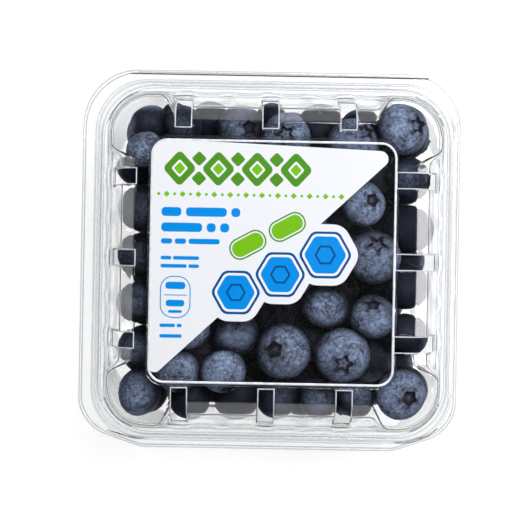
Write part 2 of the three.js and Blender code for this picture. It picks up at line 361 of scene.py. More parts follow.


# How far the upright half-round flutes and flat ribs stand out, 0 to 1
def fluteSwell(along, spots):
    swell = 0
    for spot in spots:
        off = abs(along - spot) / flute["radius"]
        swell = max(swell, math.sqrt(max(1 - off * off, 0)))
    for first, second in zip(spots, spots[1:]):
        off = abs(along - (first + second) / 2)
        swell = max(swell, flute["ribShare"] * between((flute["ribHalf"] - off) / flute["ribSlope"], 0, 1))
    return swell


# Points round a square, counterclockwise from the right side, with a radius for each corner. The
# inset sets the sides back between the corner lobes, and the swell stands the flutes out.
def squareRound(half, radii, inset=0, swell=0):
    points = []
    straightFull = mould["half"] - mould["radius"]
    steps, turns, blend = shellGrid["alongSide"], shellGrid["roundCorner"], shellGrid["lobeBlend"]
    for index, ((nx, ny), spots) in enumerate(sides.values()):
        tx, ty = -ny, nx
        before, after = half - radii[index - 1], half - radii[index]
        lobe = shellGrid["lobeStart"] * max(before, after) / straightFull
        for step in range(steps + 1):
            share = 2 * step / steps - 1
            along = share * (before if share < 0 else after)
            out = half - inset * (1 - easeStep(lobe - blend, lobe + blend, abs(along)))
            if swell:
                out += swell * fluteSwell(along, spots)
            points.append((nx * out + tx * along, ny * out + ty * along))
        for step in range(1, turns):
            turn = math.pi / 2 * step / turns
            out = after + radii[index] * math.cos(turn)
            along = after + radii[index] * math.sin(turn)
            points.append((nx * out + tx * along, ny * out + ty * along))
    return points


def mouldRing(half, height, inset=0, swell=0, radius=None, shift=0):
    radius = min(radius or mould["radius"], half)
    points = squareRound(half, [radius] * 4, inset, swell)
    return [Vector((x + mould["x"] + shift, y + mould["y"], height)) * mm for x, y in points]


# The cut outline of a flange: wide corners at the hinge, slanted lift corners in front
def trimRing(half, height):
    radii = [trim["farRadius"], trim["farRadius"], trim["nearRadius"], trim["nearRadius"]]
    ring = []
    for x, y in squareRound(half, radii):
        fade = between((-y - trim["fadeFrom"]) / trim["fadeOver"], 0, 1)
        y += max(abs(x) - trim["slantFrom"], 0) * trim["slantRise"] * fade
        ring.append(Vector((x, y, height)) * mm)
    return ring


# A shell's rings from the flange's lip inwards. Lip: out and up from its edge. Profile: half-width,
# height, inset, swell, corner radius and shift.
def shellRings(edge, flat, lip, profile):
    rings = [trimRing(edge + across, flat + up) for across, up in lip]
    return rings + [mouldRing(*row) for row in profile]


# Sheet drawn from a first line of points, each line extruded from the last
def extrudeLoops(rings, closed=True):
    bm = bmesh.new()
    loop = [bm.verts.new(point) for point in rings[0]]
    edges = [bm.edges.new(pair) for pair in zip(loop, loop[1:] + loop[:closed])]
    for ring in rings[1:]:
        order = {vert: index for index, vert in enumerate(loop)}
        made = bmesh.ops.extrude_edge_only(bm, edges=edges)["geom"]
        loop = [None] * len(order)
        for vert in (g for g in made if isinstance(g, bmesh.types.BMVert)):
            old = next(e.other_vert(vert) for e in vert.link_edges if e.other_vert(vert) in order)
            loop[order[old]] = vert
            vert.co = ring[order[old]]
        fresh = set(loop)
        edges = [g for g in made if isinstance(g, bmesh.types.BMEdge) and set(g.verts) <= fresh]
    return bm


# The middle is closed after the rounding, which is slow round a face of many corners
def smoothShell(name, rings):
    shell = addObject(name, meshFrom(extrudeLoops(rings), name))
    surface = shell.modifiers.new("round", "SUBSURF")
    surface.levels = surface.render_levels = 1
    applyModifiers(shell)
    bm = bmesh.new()
    bm.from_mesh(shell.data)
    innermost = [e for e in bm.edges if e.is_boundary and abs(e.verts[0].co.x) < middleReach * mm
                 and abs(e.verts[0].co.y) < middleReach * mm]
    bmesh.ops.contextual_create(bm, geom=innermost)
    bmesh.ops.recalc_face_normals(bm, faces=bm.faces)
    middle = max(bm.faces, key=lambda face: len(face.verts))
    if middle.normal.z < 0:
        bmesh.ops.reverse_faces(bm, faces=bm.faces)
    # painted shade: the sharper the sheet bends at a point, the darker its colour there
    bend = bm.verts.layers.float.new("bend")
    for vert in bm.verts:
        sharpest = max(edge.calc_face_angle(1) for edge in vert.link_edges)
        vert[bend] = easeStep(bendShadeRange["from"], bendShadeRange["to"], sharpest)
    bm.to_mesh(shell.data)
    bm.free()
    return shell


def addGauge(shell, thickness):
    wall = shell.modifiers.new("gauge", "SOLIDIFY")
    wall.thickness = thickness * mm
    wall.offset = -1


# The lid

lidShape = {
    "trimHalf": 62.2,
    "flangeTop": rimHeight + 0.9,
    "bead": {"half": 58.5, "radius": 17, "height": 1.4},
    "stepHeight": 1.5,
    "recessHalf": 40.1,
    "recessRadius": 5.6,
    "recessDepth": 0.7,
    "recessShift": -0.7,
}
vent = {"width": 5.2, "outer": 53.2, "lowest": rimHeight + 3.4, "margin": 3, "rim": 0.17,
        "inner": {"left": 45, "right": 39, "near": 41, "far": 43}}


def lidRings():
    shape, bead, top = lidShape, lidShape["bead"], packHeight
    flat, step, floor = shape["flangeTop"], shape["stepHeight"], packHeight - shape["recessDepth"]
    recess, corner, shift = shape["recessHalf"], shape["recessRadius"], shape["recessShift"]
    beadSteps = ((1.7, 0), (1.2, 0.1), (0.95, 0.9), (0.6, bead["height"]),
                 (-0.6, bead["height"]), (-0.95, 0.9), (-1.2, 0.1), (-1.6, 0))
    lip = ((0, -0.5), (0, -0.12), (-0.25, 0), (-0.9, 0))
    profile = [
        *((bead["half"] + across, flat + up, 0, 0, bead["radius"]) for across, up in beadSteps),
        (56.3, flat),
        (55.9, flat + 0.1, 0.3, 0.8),
        (55.7, flat + step - 0.3, 0.4, 0.9),
        (55.5, flat + step, 0.6, 0.9),
        (55.3, flat + step + 0.1, 0.8, 0.9),
        (55.15, flat + step + 0.5, 0.9, 0.4),
        (55.0, flat + step + 1.9, 1.3, 0.1),
        (54.7, flat + 9, 2.9),
        (54.4, flat + 14, 4.1),
        (54.3, top - 4.5, 4.3),
        (54.2, top - 3.9, 4.3),
        (54.1, top - 3.6, 4.5),
        (53.9, top - 3.3, 4.7),
        (53.6, top - 0.9, 7.0),
        (53.3, top - 0.5, 7.1),
        (52.7, top - 0.15, 7.0, 0, 13),
        (52.0, top - 0.02, 6.8, 0, 12.5),
        (51.2, top, 6.4, 0, 12),
        (44.5, top, 1.0, 0, 8, shift / 2),
        (recess + 0.6, top, 0, 0, corner + 0.5, shift),
        (recess + 0.15, top - 0.02, 0, 0, corner + 0.1, shift),
        (recess - 0.1, top - 0.3, 0, 0, corner - 0.1, shift),
        (recess - 0.3, floor + 0.03, 0, 0, corner - 0.4, shift),
        (recess - 0.8, floor, 0, 0, corner - 0.7, shift),
        (30, floor, 0, 0, 4),
        (14, floor, 0, 0, 3),
        (3, floor, 0, 0, 2),
    ]
    return shellRings(shape["trimHalf"], flat, lip, profile)


# Cuts one vent with five planes and takes away the faces between them
def cutVent(bm, low, high):
    lowest = vent["lowest"] * mm

    def isNear(face, spare):
        x, y, z = face.calc_center_median()
        return (low.x - spare < x < high.x + spare and low.y - spare < y < high.y + spare
                and z > lowest - spare)

    near = [face for face in bm.faces if isNear(face, vent["margin"] * mm)]
    planes = ((low, (1, 0, 0)), (high, (1, 0, 0)), (low, (0, 1, 0)), (high, (0, 1, 0)),
              (Vector((low.x, low.y, lowest)), (0, 0, 1)))
    for point, normal in planes:
        geometry = set(near)
        for face in near:
            geometry.update(face.edges)
            geometry.update(face.verts)
        cut = bmesh.ops.bisect_plane(bm, geom=list(geometry), dist=1e-7, plane_co=point, plane_no=normal)
        near = [item for item in cut["geom"] if isinstance(item, bmesh.types.BMFace)]
    bmesh.ops.delete(bm, geom=[face for face in near if isNear(face, 0)], context="FACES")


def cutVents(bm):
    for name, ((nx, ny), spots) in sides.items():
        inner, outer = vent["inner"][name], vent["outer"]
        for spot in spots:
            corners = []
            for out, along in ((inner, spot - vent["width"] / 2), (outer, spot + vent["width"] / 2)):
                x = mould["x"] + nx * out - ny * along
                y = mould["y"] + ny * out + nx * along
                corners.append(Vector((x, y, 0)))
            low = Vector(map(min, *corners)) * mm
            high = Vector(map(max, *corners)) * mm
            cutVent(bm, low, high)


# Closed runs of edges, each as its points in order
def edgeRuns(edges):
    left = set(edges)
    runs = []
    while left:
        edge = left.pop()
        first, vert = edge.verts
        run = [first.co.copy()]
        while vert != first:
            run.append(vert.co.copy())
            following = [e for e in vert.link_edges if e in left]
            if not following:
                break
            left.discard(following[0])
            vert = following[0].other_vert(vert)
        runs.append(run)
    return runs


# A thin round bead along closed lines
def beadAlong(name, runs, radius, flatten=None):
    curve = bpy.data.curves.new(name, "CURVE")
    curve.dimensions = "3D"
    curve.bevel_depth = radius * mm
    curve.bevel_resolution = 1
    for run in runs:
        spline = curve.splines.new("POLY")
        spline.points.add(len(run) - 1)
        for point, place in zip(spline.points, run):
            point.co = (*place, 1)
        spline.use_cyclic_u = True
    holder = addObject(name + "Line", curve)
    mesh = workedMesh(holder)
    bpy.data.objects.remove(holder)
    mesh.name = name
    if flatten:
        level = runs[0][0].z
        for vert in mesh.vertices:
            vert.co.z = level + flatten * (vert.co.z - level)
    mesh.shade_smooth()
    return addObject(name, mesh)


def makeLid():
    lid = smoothShell("lidShell", lidRings())
    bm = bmesh.new()
    bm.from_mesh(lid.data)
    cutVents(bm)
    flangeLine = (lidShape["flangeTop"] + 1) * mm
    ventEdges = [
        edge for edge in bm.edges
        if edge.is_boundary and min(v.co.z for v in edge.verts) > flangeLine
    ]
    runs = [run for run in edgeRuns(ventEdges) if len(run) > 3]
    bm.to_mesh(lid.data)
    bm.free()
    lid.data.shade_smooth()
    addGauge(lid, sheetGauge)
    lid.data.materials.append(sheetMaterial)
    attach(lid, "lid")
    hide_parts("lid")
    # painted highlight: pale beads round the vents' cut edges
    rims = beadAlong("ventRims", runs, vent["rim"])
    rims.data.materials.append(edgeHighlight)
    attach(rims, "lid")


makeLid()
print("lid formed and vents cut")


# The tray

trayShape = {"trimHalf": 63.1, "panelHalf": 37.5, "panelRise": 1.5}


def trayRings():
    flat, inner = rimHeight, sheetGauge
    panel, rise = trayShape["panelHalf"], trayShape["panelRise"]
    lip = ((0, -1.0), (0, -0.2), (-0.3, 0), (-1.2, 0))
    profile = [
        (57.6, flat, 0, 0, 15.5),
        (56.0, flat, 0, 0, 14),
        (55.4, flat - 0.1, 0.1),
        (55.0, flat - 0.5, 0.3),
        (54.6, flat - 1.6, 0.6, 0.2),
        (54.3, flat - 3.5, 1.2, 0.9),
        (53.3, flat - 10, 2.3, 1.4),
        (51.9, flat / 2, 3.2, 1.5),
        (50.6, 11, 3.5, 1.4),
        (49.4, 5, 3.6, 1.0),
        (48.7, 3, 3.5, 0.6),
        (47.4, 1.4, 3.2, 0.2),
        (45.8, inner + 0.12, 2.8),
        (44.9, inner, 2.6),
        (panel + 1.0, inner, 0, 0, 12),
        (panel + 0.3, inner + 0.1, 0, 0, 11.5),
        (panel - 0.9, inner + rise - 0.1, 0, 0, 10.5),
        (panel - 1.6, inner + rise, 0, 0, 10),
        (24, inner + rise, 0, 0, 7),
        (10, inner + rise, 0, 0, 3),
        (3, inner + rise, 0, 0, 2),
    ]
    return shellRings(trayShape["trimHalf"], flat, lip, profile)


def makeTray():
    tray = smoothShell("trayShell", trayRings())
    addGauge(tray, sheetGauge)
    tray.data.materials.append(sheetMaterial)
    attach(tray, "tray")
    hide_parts("tray")


makeTray()
print("tray formed")


# The fold that joins the two flanges at the far side: a rolled strip with rounded ends

fold = {"left": -47.5, "right": 52, "y": 62.0, "reach": 1.15, "leg": 0.8,
        "low": rimHeight + 0.05, "high": lidShape["flangeTop"] + 0.7, "endLength": 1.8,
        "endSteps": 5, "thinnest": 0.05, "between": 7, "pitch": 12, "turnSteps": 10}


def makeFold():
    middle, half = (fold["low"] + fold["high"]) / 2, (fold["high"] - fold["low"]) / 2
    leg = fold["y"] - fold["leg"]
    ends = []
    for step in range(fold["endSteps"] + 1):
        angle = math.pi / 2 * step / fold["endSteps"]
        ends.append((fold["endLength"] * (1 - math.cos(angle)), max(math.sin(angle), fold["thinnest"])))
    stations = [(fold["left"] + off, fullness) for off, fullness in ends]
    stations += [(fold["left"] + fold["pitch"] * step, 1) for step in range(1, fold["between"] + 1)]
    stations += [(fold["right"] - off, fullness) for off, fullness in reversed(ends)]
    sections = []
    for x, fullness in stations:
        section = [Vector((x, leg, fold["low"])) * mm]
        for step in range(fold["turnSteps"] + 1):
            turn = math.pi * (step / fold["turnSteps"] - 0.5)
            section.append(Vector((x, fold["y"] + fold["reach"] * fullness * math.cos(turn),
                                   middle + half * math.sin(turn))) * mm)
        section.append(Vector((x, leg, fold["high"])) * mm)
        sections.append(section)
    bm = extrudeLoops(sections, closed=False)
    bmesh.ops.recalc_face_normals(bm, faces=bm.faces)
    if max(bm.faces, key=lambda face: face.calc_center_median().y).normal.y < 0:
        bmesh.ops.reverse_faces(bm, faces=bm.faces)
    strip = addObject("hingeFold", meshFrom(bm, "hingeFold"))
    addGauge(strip, sheetGauge / 2)
    applyModifiers(strip)
    strip.data.materials.append(sheetMaterial)
    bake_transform(strip, "tray", "lid", start=Vector((0, fold["y"], fold["low"])) * mm,
             end=Vector((0, fold["y"], fold["high"])) * mm)


makeFold()
print("hinge fold laid")


# The berries. The shown ones stand where they can be told apart; the rest are packed round them.

heap = {
    # to the right, up, width, and depth of the top under the roof
    "shown": [
        (-42.0, 45.0, 13.4, 8), (-31.0, 45.0, 13.0, 6), (-11.8, 45.0, 16.0, 4), (3.2, 40.8, 16.4, 0),
        (14.6, 45.6, 15.6, 10), (25.2, 39.2, 17.2, 0.5), (41.4, 44.2, 17.4, 0), (-43.5, 17.0, 16.0, 5),
        (-45.5, 1.4, 15.2, 6.5), (-44.2, -13.8, 15.4, 5.5), (-44.9, -29.0, 13.4, 6), (-43.5, -43.6, 15.8, 4),
        (-31.0, -36.4, 15.0, 1), (-16.1, -36.0, 15.4, 0), (3.5, -29.2, 18.4, 0), (22.9, -30.2, 18.4, 0),
        (32.4, -17.4, 15.4, 2), (17.0, -14.5, 16.4, 3), (28.7, 19.5, 15.0, 0), (32.6, 2.1, 18.2, 1),
        (43.6, 27.8, 15.4, 6), (44.4, 11.6, 16.2, 8), (43.8, -7.2, 15.6, 8), (44.0, -23.4, 15.2, 8),
        (-27.0, -45.8, 14.4, 10), (1.8, -45.2, 14.4, 7), (15.4, -45.2, 13.6, 6), (27.4, -45.0, 12.8, 5),
        (42.2, -42.6, 16.8, 0), (-12.5, -23.7, 15.6, 4), (-43.2, 36.2, 12.6, 1), (-46.5, 30.0, 12.4, 11),
    ],
    # which way the crown of a shown berry leans, as shares of its radius to the right and up
    "crowns": {3: (-0.05, 0.12), 4: (-0.05, 0.66), 5: (0.5, 0.5), 6: (0.6, 0.15), 9: (0.3, -0.9),
               12: (0.2, -0.9), 13: (0.3, -0.8), 14: (-0.36, 0.10), 15: (0.02, -0.32),
               16: (0.0, 0.65), 18: (0.43, 0.18), 19: (0.1, 0.55), 28: (0.33, -0.1)},
    # the rest start in square grids: height, number across, pitch, and the grid's middle
    "layers": [(9.5, 5, 18, 0, 0), (20, 5, 18.6, 0, 0), (30, 5, 19.4, 0, 0), (38, 5, 19.6, 0, 0),
               (50, 3, 16.4, -13, 12)],
    "roof": packHeight - 1.7,
    "floor": 2.1,
    "least": 7.3, "spread": 1.6,  # radius
    "flattest": 0.84, "flatSpread": 0.6, "clear": 1.0, "cornerReach": 5, "jitter": 3,
    "seed": 41, "settle": 150, "sag": 0.04, "touchWithin": 19,
    # small ones wedged in along the far wall, the widest that fit first
    "wedged": {"radii": (6.6, 6.2, 5.8, 5.4, 5.0, 4.6), "left": -38, "right": 38, "low": 33, "high": 44,
               "clear": 0.7, "squeeze": 0.35, "behind": 25},
    # inside half-widths of the closed pack: height, at the sides, in the corner lobes
    "walls": [(0, 41.5, 44.5), (5, 45.9, 49.3), (rimHeight / 2, 48.7, 51.7), (rimHeight - 2, 53.7, 54.3),
              (rimHeight + 3, 54, 54.6), (packHeight - 4.4, 48.8, 53.6), (packHeight, 45, 52)],
}


class Draw:
    def __init__(self, seed):
        self.state = seed

    def next(self):
        self.state = (self.state * 1664525 + 1013904223) % 4294967296
        return self.state / 4294967296


def wallAt(height, column):
    walls = heap["walls"]
    above = max(next((i for i, level in enumerate(walls) if level[0] >= height), len(walls) - 1), 1)
    low, high = walls[above - 1], walls[above]
    share = between((height - low[0]) / (high[0] - low[0]), 0, 1)
    return low[column] + share * (high[column] - low[column])


def keepInside(ball):
    radius, clear = ball["radius"], heap["clear"]
    ball["z"] = between(ball["z"], heap["floor"] + clear + radius, heap["roof"] - radius)
    side = wallAt(ball["z"], 1) - clear - radius
    lobe = wallAt(ball["z"], 2) - clear - radius
    inCorner = min(abs(ball["x"]), abs(ball["y"])) > side - heap["cornerReach"]
    limit = lobe if inCorner else side
    ball["x"] = between(ball["x"], -limit, limit)
    ball["y"] = between(ball["y"], -limit, limit)
    bend = wallAt(ball["z"], 2) - mould["radius"]
    dx, dy = abs(ball["x"]) - bend, abs(ball["y"]) - bend
    far = math.hypot(dx, dy)
    reach = mould["radius"] - clear - radius
    if dx > 0 and dy > 0 and far > reach:
        ball["x"] = math.copysign(bend + dx * reach / far, ball["x"])
        ball["y"] = math.copysign(bend + dy * reach / far, ball["y"])


def pushApart(a, b):
    dx, dy, dz = b["x"] - a["x"], b["y"] - a["y"], b["z"] - a["z"]
    apart = math.sqrt(dx * dx + dy * dy + dz * dz) or 1
    overlap = a["radius"] + b["radius"] - apart
    if overlap <= 0:
        return
    shareA = 0 if a["fixed"] else 1 if b["fixed"] else 0.5
    shareB = 0 if b["fixed"] else 1 if a["fixed"] else 0.5
    push = overlap / apart
    for ball, share in ((a, -shareA), (b, shareB)):
        ball["x"] += dx * push * share
        ball["y"] += dy * push * share
        ball["z"] += dz * push * share


def wedgeBerries(balls):
    wedged = heap["wedged"]
    for radius in wedged["radii"]:
        for x in range(wedged["left"], wedged["right"] + 1):
            for z in range(wedged["high"], wedged["low"] - 1, -1):
                y = wallAt(z, 1) - wedged["clear"] - radius
                reach = radius - wedged["squeeze"]
                if all(math.dist((x, y, z), (b["x"], b["y"], b["z"])) > reach + b["radius"]
                       for b in balls if b["y"] > wedged["behind"]):
                    balls.append({"x": x, "y": y, "z": z, "radius": radius, "fixed": True})


def packBerries():
    draw = Draw(heap["seed"])
    balls = [
        {"x": x, "y": y, "z": heap["roof"] - width / 2 - depth, "radius": width / 2, "fixed": True}
        for x, y, width, depth in heap["shown"]
    ]
    for ball in balls:
        keepInside(ball)
    for height, across, pitch, middleX, middleY in heap["layers"]:
        for i in range(across):
            for j in range(across):
                radius = heap["least"] + heap["spread"] * draw.next()
                balls.append({
                    "x": middleX + (i - (across - 1) / 2) * pitch + heap["jitter"] * (draw.next() - 0.5),
                    "y": middleY + (j - (across - 1) / 2) * pitch + heap["jitter"] * (draw.next() - 0.5),
                    "z": height + heap["jitter"] * draw.next(),
                    "radius": radius,
                    "fixed": False,
                })
    for _ in range(heap["settle"]):
        for i, ball in enumerate(balls):
            for other in balls[i + 1:]:
                if max(abs(other["z"] - ball["z"]), abs(other["x"] - ball["x"])) < heap["touchWithin"]:
                    pushApart(ball, other)
        for ball in balls:
            if not ball["fixed"]:
                ball["z"] -= heap["sag"]
                keepInside(ball)
    wedgeBerries(balls)
    for ball in balls:
        tilt = math.pi * draw.next()
        turn = 2 * math.pi * draw.next()
        ball["flat"] = heap["flattest"] + (1 - heap["flattest"]) * heap["flatSpread"] * draw.next()
        lean = math.sin(tilt)
        ball["axis"] = Vector((lean * math.sin(turn), -lean * math.cos(turn), math.cos(tilt)))
    for index, (right, up) in heap["crowns"].items():
        rise = math.sqrt(max(1 - right * right - up * up, 0.01))
        balls[index]["axis"] = Vector((right, up, rise)).normalized()
    return balls


berryForm = {"around": 30, "along": 12, "crownSpread": 0.30, "collar": 1.4, "dent": 0.05,
             "swell": 0.28, "swellScale": 110, "seed": 7, "spin": 6.28}
# Painted shade on the berries: bloom darkened low in the heap and where berries touch, but less
# on the sides that face the walls: depths and gaps in mm
paintedShadeLook = {"from": 2.0, "to": 9.5, "deep": 0.97, "touching": 2.6, "betweenShade": 0.85,
             "wallFacingUnshaded": 0.8, "wallZone": (28, 40), "facing": (0.6, 0.92)}


# One berry of radius 1 with its crown at the top: the profile is spun, then the crown is cut into
# five points. The rows inside the crown carry their share in the mark.
def berryTemplate(flare, star, bowl):
    form = berryForm
    crownAngle = math.asin(form["crownSpread"])
    profile = []
    for step in range(form["along"]):
        angle = -math.pi / 2 + (math.pi - crownAngle) * step / form["along"]
        dent = form["dent"] * easeStep(0.96, 1.0, -math.sin(angle))
        profile.append((math.cos(angle), math.sin(angle) + dent, 0))
    for angle in (crownAngle * form["collar"], crownAngle):
        profile.append((math.sin(angle), math.cos(angle), 0))
    collar, edge, height = profile[-2][0], profile[-1][0], profile[-1][1]
    crownRows = [
        # out from the axis as a share of the crown's edge, up from that edge, crown share
        (1.0, 0.035 * flare, 0.7), (0.93, 0.06 * flare, 0.9), (0.82, 0.02, 1),
        (0.66, -0.06 * bowl, 1), (0.34, -0.10 * bowl, 0.85), (0.12, -0.08 * bowl, 0.6),
        (0, -0.07 * bowl, 0.6),
    ]
    profile += [(edge * across, height + up, share) for across, up, share in crownRows]
    bm = bmesh.new()
    verts = [bm.verts.new((across, 0, up)) for across, up, _ in profile]
    edges = [bm.edges.new(pair) for pair in zip(verts, verts[1:])]
    bmesh.ops.spin(bm, geom=verts + edges, cent=(0, 0, 0), axis=(0, 0, 1), angle=2 * math.pi,
                   steps=form["around"], use_merge=True, dvec=(0, 0, 0))
    bmesh.ops.remove_doubles(bm, verts=bm.verts, dist=1e-5)
    bmesh.ops.recalc_face_normals(bm, faces=bm.faces)
    layer = bm.verts.layers.float.new("crown")
    for vert in bm.verts:
        out = math.hypot(vert.co.x, vert.co.y)
        points = math.cos(5 * math.atan2(vert.co.y, vert.co.x))
        if vert.co.z > 0 and abs(out - collar) < 1e-4:
            vert[layer] = math.sqrt(max(points, 0))
        if vert.co.z < height - 0.12 or out > edge * 1.01:
            continue
        vert[layer] = next((share for across, up, share in profile
                            if abs(across - out) < 1e-4 and abs(up - vert.co.z) < 1e-4), 0)
        if vert[layer] > 0.3 and out > edge * 0.2:
            scale = 1 + star * points
            vert.co.x *= scale
            vert.co.y *= scale
            vert.co.z += 0.03 * flare * points * (vert[layer] < 0.7)
    return bm


# Painted shade at a point of a berry, 0 to 1, from its depth and its nearness to other berries. "Away"
# points out of the berry there.
def paintedShadeAt(point, away, others):
    shadeLook = paintedShadeLook
    depthShade = shadeLook["deep"] * easeStep(shadeLook["from"], shadeLook["to"], heap["roof"] - point.z)
    across, along = point.x - mould["x"], point.y - mould["y"]
    if abs(across) > abs(along):
        outward = math.copysign(away.x, across * away.x)
    else:
        outward = math.copysign(away.y, along * away.y)
    atWall = easeStep(*shadeLook["wallZone"], max(abs(across), abs(along)))
    depthShade *= 1 - shadeLook["wallFacingUnshaded"] * atWall * easeStep(*shadeLook["facing"], outward)
    # painted shade between berries, strongest where they touch
    gap = min(((point - centre).length - radius for centre, radius in others), default=shadeLook["touching"])
    touch = between(1 - gap / shadeLook["touching"], 0, 1)
    return 1 - (1 - depthShade) * (1 - shadeLook["betweenShade"] * touch)


# The crown's flare, how deep its star is cut and how deep its bowl lies
berryKinds = [(1.0, 0.20, 1.0), (0.5, 0.32, 1.3), (1.5, 0.14, 0.8), (0.8, 0.26, 1.6)]
shownKinds = {14: 2, 15: 1, 28: 2}


def makeBerries():
    form = berryForm
    templates = [meshFrom(berryTemplate(*kind), "berryKind") for kind in berryKinds]
    draw = Draw(form["seed"])
    bm = bmesh.new()
    crown = bm.verts.layers.float.new("crown")
    mark = bm.verts.layers.float_color.new("mark")
    paintedShade = bm.verts.layers.float.new("paintedShade")
    balls = packBerries()
    centres = [(Vector((mould["x"] + b["x"], mould["y"] + b["y"], b["z"])), b["radius"]) for b in balls]
    for index, ball in enumerate(balls):
        middle, girth = centres[index]
        near = [(centre, radius) for other, (centre, radius) in enumerate(centres) if other != index
                and (centre - middle).length < radius + girth + paintedShadeLook["touching"]]
        kind = shownKinds[index] if index in shownKinds else int(draw.next() * len(berryKinds))
        before = len(bm.verts)
        bm.from_mesh(templates[kind])
        bm.verts.ensure_lookup_table()
        fresh = bm.verts[before:]
        spin = Euler((0, 0, form["spin"] * draw.next())).to_quaternion()
        turn = ball["axis"].to_track_quat("Z", "Y") @ spin
        size = Matrix.Diagonal((girth, girth, girth * ball["flat"], 1))
        place = Matrix.Scale(mm, 4) @ Matrix.Translation(middle) @ turn.to_matrix().to_4x4() @ size
        bmesh.ops.transform(bm, matrix=place, verts=fresh)
        tint, bloom = draw.next(), draw.next()
        for vert in fresh:
            away = vert.co - middle * mm
            swell = noise.noise(away * form["swellScale"] + Vector((index * 3.1, 0, 0))) * form["swell"]
            vert.co = middle * mm + away * (1 + swell * mm / away.length)
            vert[mark] = (tint, vert[crown], bloom, 1)
            # painted shade for each point, from its depth and its nearest neighbours
            vert[paintedShade] = paintedShadeAt(vert.co / mm, away.normalized(), near)
    for template in templates:
        bpy.data.meshes.remove(template)
    bm.verts.layers.float.remove(crown)
    berries = addObject("berryHeap", meshFrom(bm, "berryHeap"))
    berries.data.materials.append(skinMaterial)
    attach(berries, "tray")
    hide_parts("berries")


makeBerries()
print("berries packed")


# The label: clear film and its print

labelShape = {
    "x": mould["x"] + lidShape["recessShift"],
    "y": mould["y"] - 0.2,
    "width": 79.4,
    "length": 78.8,
    "radius": 5.3,
    "top": labelHigh.z / mm,
    "gauge": 0.12,
    "rim": {"inset": 0.35, "radius": 0.38, "flatten": 0.3, "depth": 0.05},
}
# levels above the film's top: the white field, its tiles, then the inks laid over one another
fieldLevel = 0.035
tileLevel = 0.045
inkLevels = [0.06, 0.08, 0.10, 0.12, 0.14, 0.16, 0.18, 0.20]


def arc(x, y, radius, start, end, steps=10):
    return [
        (x + radius * math.cos(start + (end - start) * step / steps),
         y + radius * math.sin(start + (end - start) * step / steps))
        for step in range(steps + 1)
    ]


def roundedBox(width, length, radius, x=0, y=0, steps=8):
    radius = min(radius, width * 0.49, length * 0.49)
    right, up = width / 2 - radius, length / 2 - radius
    corners = ((right, up), (-right, up), (-right, -up), (right, -up))
    points = []
    for index, (cx, cy) in enumerate(corners):
        points += arc(x + cx, y + cy, radius, index * math.pi / 2, (index + 1) * math.pi / 2, steps)
    return points


# A regular shape with rounded corners, its size measured to where the sharp corners would be
def roundedShape(x, y, size, corners, radius, turn=0, wide=1):
    points = []
    half = math.pi / corners
    for index in range(corners):
        towards = turn + 2 * half * index
        out = size - radius / math.cos(half)
        points += arc(out * math.cos(towards), out * math.sin(towards), radius,
                      towards - half, towards + half, 5)
    return [(x + wide * px, y + py) for px, py in points]


# A flat piece with this outline, raised above the film's top by level, and thickness deep
def addFlat(bm, outline, level, thickness=0.02):
    base = labelShape["top"] + level
    verts = [
        bm.verts.new(Vector((labelShape["x"] + x, labelShape["y"] + y, base - thickness)) * mm)
        for x, y in outline
    ]
    bmesh.ops.remove_doubles(bm, verts=verts, dist=1e-6)
    verts = [vert for vert in verts if vert.is_valid]
    face = bm.faces.new(verts)
    made = bmesh.ops.extrude_face_region(bm, geom=[face])["geom"]
    lifted = [g for g in made if isinstance(g, bmesh.types.BMVert)]
    bmesh.ops.translate(bm, vec=(0, 0, thickness * mm), verts=lifted)


def finishPrint(name, bm, ink):
    bmesh.ops.recalc_face_normals(bm, faces=bm.faces)
    piece = addObject(name, meshFrom(bm, name, smooth=False))
    piece.data.materials.append(ink)
    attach(piece, "lid")
    return piece


def makeFilm():
    shape, rim = labelShape, labelShape["rim"]
    bm = bmesh.new()
    outline = roundedBox(shape["width"], shape["length"], shape["radius"], steps=14)
    addFlat(bm, outline, 0, shape["gauge"])
    film = finishPrint("labelFilm", bm, filmMaterial)
    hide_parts("label")
    line = roundedBox(shape["width"] - 2 * rim["inset"], shape["length"] - 2 * rim["inset"],
                      shape["radius"] - rim["inset"], steps=14)
    level = shape["top"] - rim["depth"]
    edge = [Vector((shape["x"] + x, shape["y"] + y, level)) * mm for x, y in line]
    # painted highlight: a pale bead along the film's edge
    bead = beadAlong("filmEdge", [edge], rim["radius"], flatten=rim["flatten"])
    bead.data.materials.append(edgeHighlight)
    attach(bead, "lid")


# Where things are printed, from the label's middle
tiles = [(-11.6, -9.8, 7.2), (2.6, -3.8, 7.4), (17.0, 2.8, 7.8)]
whiteMargin = 3.6
lozenges = {"y": 29.9, "first": -30.4, "pitch": 12.5, "count": 4, "size": 6.0, "wide": 0.92,
            "small": 2.5, "smallUp": 3.2}
trimLine = {"y": 21.6, "first": -37.0, "pitch": 2.56, "count": 24, "sizes": (0.62, 1.0)}
pods = {"places": ((-8.0, 5.6), (4.6, 11.6)), "lean": 0.5, "width": 10.6, "length": 5.2}
badge = {"x": -31.1, "y": -11.6, "width": 9.9, "length": 13.6, "radius": 4.2, "line": 0.35,
         # height, width and tallness of the bars in it
         "bars": ((-7.9, 6.4, 2.3), (-11.0, 7.4, 0.3), (-13.6, 6.0, 2.1), (-16.3, 4.4, 0.9))}
barRound = 0.42  # a bar's corner radius as a share of its height
bars = [
    # left end, height, bar height and bar lengths
    (-36.0, 15.9, 2.9, (6.4, 13.2, 2.9)),
    (-36.0, 10.9, 2.9, (13.2, 2.9, 2.9)),
    (-36.0, 6.4, 1.7, (3.6, 3.6, 10.0)),
    (-36.0, 1.0, 1.15, (3.4, 8.4)),
    (-36.0, -1.6, 1.15, (8.4, 3.4)),
    (-36.0, -20.8, 1.1, (5.0, 1.6)),
    (-36.0, -24.2, 1.1, (7.2,)),
]


